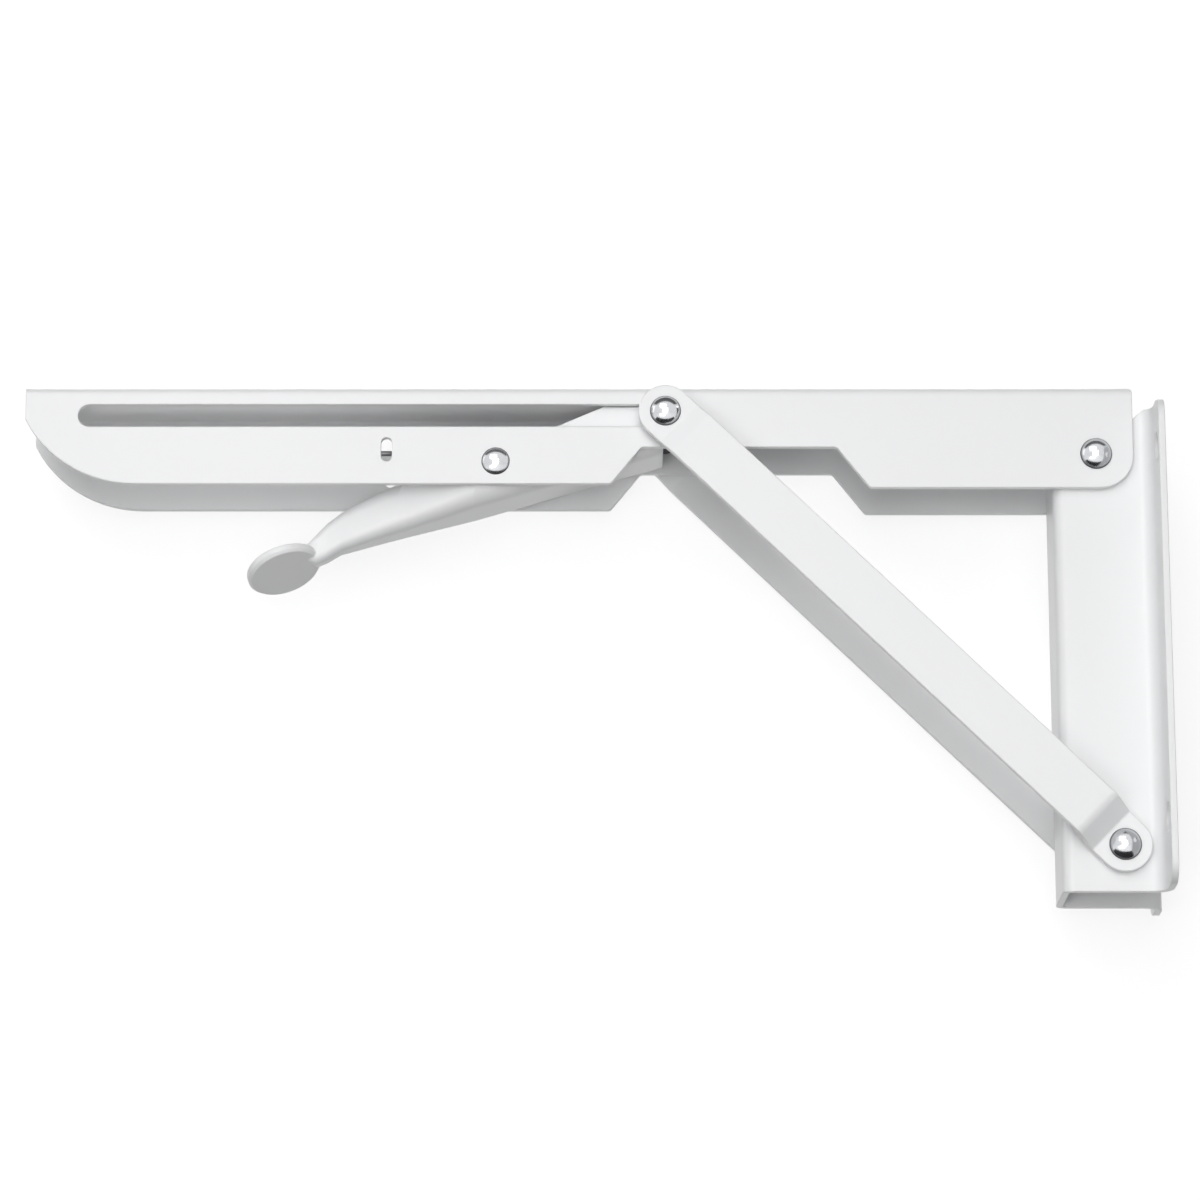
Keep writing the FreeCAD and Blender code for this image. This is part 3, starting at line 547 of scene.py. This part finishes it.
bm = bmesh.new()
start = eye + Vector((0, coil_near, COIL_R))
first_ring = ring_at(bm, start, Vector((1, 0, 0)), WIRE_R)
wound = bmesh.ops.spin(
    bm, geom=ring_edges(first_ring) + first_ring, cent=eye, axis=(0, 1, 0),
    dvec=(0, PITCH * TURNS / COIL_STEPS, 0), angle=2.0 * math.pi * TURNS, steps=COIL_STEPS,
    use_duplicate=False,
)
last_ring = [item for item in wound["geom_last"] if isinstance(item, bmesh.types.BMVert)]
slot_x = eye.x - 24.4 * MM
wall_y = -9.1 * MM
leg_z = eye.z + 2.6 * MM
long_leg = [
    start,
    eye + Vector((-5.0 * MM, coil_near - 0.2 * MM, COIL_R - 0.1 * MM)),
    Vector((slot_x + 1.6 * MM, wall_y + 1.1 * MM, leg_z + 0.1 * MM)),
    Vector((slot_x - 4.4 * MM, wall_y, leg_z - 0.25 * MM)),
]
leg(bm, first_ring, long_leg)
end_angle = math.radians(90.0 - 360.0 * TURNS)
end = eye + Vector((COIL_R * math.cos(end_angle), -coil_near, COIL_R * math.sin(end_angle)))
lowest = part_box("latch_spring")[0][2]
short_end = Vector((eye.x - 13.4 * MM, -coil_near, lowest + 0.6 * MM))
leg(bm, last_ring, [end, short_end])
wound = into_scene(bm, "wound_latch_spring", None, wire_finish, "latch_spring")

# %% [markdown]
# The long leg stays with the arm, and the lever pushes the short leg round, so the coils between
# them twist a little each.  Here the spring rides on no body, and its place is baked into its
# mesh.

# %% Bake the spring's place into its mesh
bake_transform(wound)
print("coils twist over", round((-2.0 * coil_near - 1.7 * MM) / MM, 2), "mm")

# %% [markdown]
# ## The studio
# The photograph is a product shot on white, with the bracket in front of a pale board that takes
# a faint shadow.  The board and the floor are stage, not object.

# %% Floor and board
def plain_sheet(name, centre, width, height, turn):
    """A flat sheet of the stage."""
    bm = bmesh.new()
    bmesh.ops.create_grid(
        bm, x_segments=1, y_segments=1, size=0.5,
        matrix=Matrix.Translation(centre) @ turn @ Matrix.Diagonal((width, height, 1.0, 1.0)),
    )
    mesh = bpy.data.meshes.new(name)
    bm.to_mesh(mesh)
    bm.free()
    sheet = bpy.data.objects.new(name, mesh)
    bpy.context.scene.collection.objects.link(sheet)
    return sheet


def studio_paper(name, tone, glow):
    """Pale paper that also shows as white to the camera and in reflections."""
    finish = Finish(name)
    finish.look(Base_Color=(tone, tone, tone, 1.0), Roughness=0.9)
    path = finish.node("ShaderNodeLightPath", {}, {})
    camera_ray = Tone(finish, path.outputs["Is Camera Ray"])
    seen = camera_ray + Tone(finish, path.outputs["Is Glossy Ray"])
    light = finish.node(
        "ShaderNodeEmission", {}, {"Color": (1, 1, 1, 1), "Strength": seen * glow}
    )
    both = finish.node("ShaderNodeAddShader", {}, {0: finish.coat.outputs[0], 1: light.outputs[0]})
    finish.feed(finish.sheet.inputs["Surface"], both.outputs[0])
    return finish


LEVEL = Matrix.Identity(4)
FLOOR_Z = -0.36
floor = plain_sheet("floor", Vector((-0.12, 0.0, FLOOR_Z)), 16.0, 16.0, LEVEL)
floor.data.materials.append(studio_paper("floor_paper", 0.42, 0.80).material)
print("floor at", FLOOR_Z, "m")

# %% [markdown]
# The board stands right behind the bracket.  Only the camera sees it, so it takes the shadow but
# never stands between the bracket and the light, and from behind it is clear.  It fades out
# towards its rim.

# %% Shadow board
BOARD_MIDDLE = Vector((-0.125, 0.0235, 0.0))
BOARD_CLEAR_R = 0.42
BOARD_FADE = 0.35
upright = Matrix.Rotation(math.radians(90.0), 4, "X")
board = plain_sheet("shadow_board", BOARD_MIDDLE, 0.9, 0.9, upright)
paper = studio_paper("board_paper", 0.32, 0.755)
side = paper.node("ShaderNodeNewGeometry", {}, {}).outputs["Backfacing"]
about_middle = paper.node("ShaderNodeMapping", {}, {
    "Vector": paper.place,
    "Location": (-BOARD_MIDDLE.x / BOARD_CLEAR_R, 0.0, 0.0),
    "Scale": (1.0 / BOARD_CLEAR_R, 0.0, 1.0 / BOARD_CLEAR_R),
})
ball = paper.node(
    "ShaderNodeTexGradient", {"gradient_type": "SPHERICAL"}, {"Vector": about_middle.outputs[0]}
)
rim = paper.node(
    "ShaderNodeMapRange", {}, {0: ball.outputs[1], 1: 0.0, 2: BOARD_FADE, 3: 1.0, 4: 0.0}
)
clear = paper.node("ShaderNodeBsdfTransparent", {}, {})
hidden = paper.node("ShaderNodeMath", {"operation": "MAXIMUM"}, {0: side, 1: rim.outputs[0]})
shown = paper.sheet.inputs["Surface"].links[0].from_socket
faded = paper.node(
    "ShaderNodeMixShader", {}, {0: hidden.outputs[0], 1: shown, 2: clear.outputs[0]}
)
paper.feed(paper.sheet.inputs["Surface"], faded.outputs[0])
board.data.materials.append(paper.material)
board.visible_diffuse = False
board.visible_glossy = False
board.visible_shadow = False
board.visible_transmission = False
print("board", round(BOARD_MIDDLE.y / MM, 1), "mm behind the middle")

# %% [markdown]
# Polished metal shows its surroundings, and a photographer gives it dark lines with dark cards out
# of shot.  These are seen only by reflections: a black one lies under the bracket, one stands at
# each side and a grey one hangs above.

# %% Dark cards
def dark_card(name, tone, centre, width, height, turn):
    """A card that only reflections see."""
    card = plain_sheet(name, centre, width, height, turn)
    finish = Finish(name + "_paper")
    finish.look(Base_Color=(tone, tone, tone, 1.0), Roughness=0.9)
    card.data.materials.append(finish.material)
    card.visible_camera = False
    card.visible_diffuse = False
    card.visible_shadow = False
    card.visible_transmission = False
    print(name, "tone", tone)


standing = Matrix.Rotation(math.radians(90.0), 4, "Y")
dark_card("card_below", 0.015, Vector((-0.12, 0.10, -0.34)), 1.3, 0.74, LEVEL)
dark_card("card_right", 0.06, Vector((0.62, 0.16, 0.05)), 0.7, 0.56, standing)
dark_card("card_left", 0.06, Vector((-0.86, 0.30, 0.05)), 0.7, 0.50, standing)
dark_card("card_above", 0.30, Vector((-0.12, 0.20, 0.62)), 1.3, 0.90, LEVEL)

# %% [markdown]
# The world is dim, so that the lamps model the forms, and white only where the camera, a
# reflection or a clear sheet looks straight at it.

# %% World light
FILL = 0.24
world = bpy.data.worlds.new("studio")
bpy.context.scene.world = world
world.use_nodes = True
sky = world.node_tree
sky.nodes.clear()
out = sky.nodes.new("ShaderNodeOutputWorld")
mix = sky.nodes.new("ShaderNodeMixShader")
seen_light = sky.nodes.new("ShaderNodeBackground")
fill_light = sky.nodes.new("ShaderNodeBackground")
path = sky.nodes.new("ShaderNodeLightPath")
add_a = sky.nodes.new("ShaderNodeMath")
add_b = sky.nodes.new("ShaderNodeMath")
add_b.use_clamp = True
sky.links.new(path.outputs["Is Camera Ray"], add_a.inputs[0])
sky.links.new(path.outputs["Is Glossy Ray"], add_a.inputs[1])
sky.links.new(add_a.outputs[0], add_b.inputs[0])
sky.links.new(path.outputs["Is Transmission Ray"], add_b.inputs[1])
sky.links.new(add_b.outputs[0], mix.inputs[0])
fill_light.inputs["Color"].default_value = (1.0, 1.0, 1.0, 1.0)
fill_light.inputs["Strength"].default_value = FILL
seen_light.inputs["Color"].default_value = (1.0, 1.0, 1.0, 1.0)
seen_light.inputs["Strength"].default_value = 1.0
sky.links.new(fill_light.outputs[0], mix.inputs[1])
sky.links.new(seen_light.outputs[0], mix.inputs[2])
sky.links.new(mix.outputs[0], out.inputs[0])
print("world fill", FILL)

# %% [markdown]
# Large soft boxes light the bracket: the key from above left, a broad one in front, a low one that
# lifts the undersides, and others at the back and the sides for the other views.

# %% Lamps
def soft_box(name, place, aim, size, power):
    """A rectangular lamp that points at a place."""
    data = bpy.data.lights.new(name, "AREA")
    data.shape = "RECTANGLE"
    data.size = size[0]
    data.size_y = size[1]
    data.energy = power
    lamp = bpy.data.objects.new(name, data)
    lamp.location = place
    lamp.rotation_euler = (Vector(aim) - Vector(place)).to_track_quat("-Z", "Y").to_euler()
    bpy.context.scene.collection.objects.link(lamp)
    print(name, power, "W")


MIDDLE = (-0.125, 0.0, 0.0)
soft_box("key_box", (-0.45, -1.1, 0.80), MIDDLE, (0.9, 0.7), 4.6)
soft_box("front_box", (-0.14, -1.6, 0.12), MIDDLE, (0.9, 0.9), 8.9)
soft_box("low_box", (-0.35, -0.65, -0.33), MIDDLE, (0.5, 0.2), 1.4)
soft_box("back_box", (-0.25, 1.15, 1.20), MIDDLE, (0.9, 0.9), 12.0)
soft_box("side_box", (-1.5, 0.1, 0.5), MIDDLE, (0.8, 0.8), 1.2)
soft_box("wall_box", (1.3, 0.3, 0.5), MIDDLE, (0.8, 0.8), 2.4)

# %% [markdown]
# ## The camera
# The photograph looks along +Y from a metre away and 15 degrees below, so the inside of the arm
# shows under its near wall.

# %% Camera and output look
BELOW = math.radians(15.0)
camera_data = bpy.data.cameras.new("photo_camera")
camera_data.sensor_fit = "HORIZONTAL"
camera_data.sensor_width = 36.0
camera_data.lens = 143.43
camera = bpy.data.objects.new("photo_camera", camera_data)
camera.location = (-0.12522, -1.0348, -0.2661)
camera.rotation_euler = (math.radians(90.0) + BELOW, 0.0, 0.0)
bpy.context.scene.collection.objects.link(camera)
bpy.context.scene.camera = camera
bpy.context.scene.view_settings.view_transform = "Standard"
print("lens", camera_data.lens, "mm")
